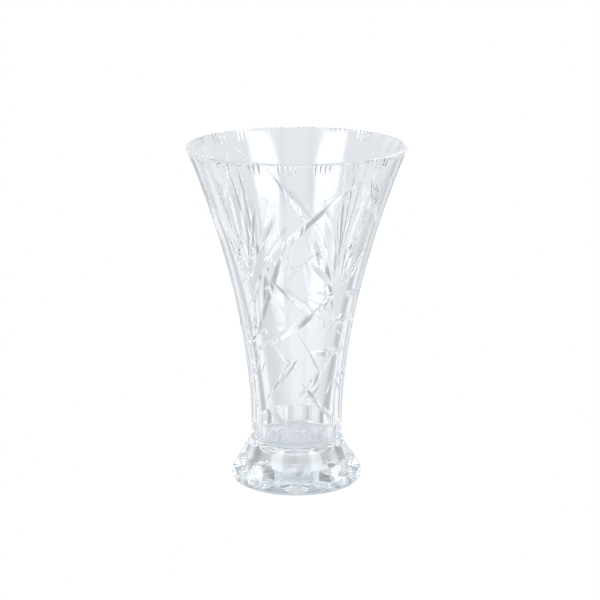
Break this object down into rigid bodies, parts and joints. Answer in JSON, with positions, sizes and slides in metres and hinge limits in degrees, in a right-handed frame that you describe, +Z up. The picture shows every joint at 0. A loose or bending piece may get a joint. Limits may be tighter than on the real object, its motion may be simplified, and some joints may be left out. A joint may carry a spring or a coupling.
{
  "type": "cut crystal vase",
  "caption": "Clear cut crystal vase: flared round bowl with long mitre cuts and a nicked rim, fluted neck, and a heavy flared foot with arched facets.",
  "frame": {"origin": "centre of the resting ring under the foot", "axes": "+Z up along the vase's axis; -Y is the front, as the cut design faces the viewer; the design repeats after half a turn"},
  "size_m": [0.1588, 0.1588, 0.25],
  "materials": {
    "bowl_crystal": "polished clear crystal, polished cuts",
    "foot_crystal": "polished clear crystal, solid and thick"
  },
  "bodies": {
    "root": {"bowl": "bowl_crystal", "foot": "foot_crystal"}
  },
  "joints": []
}
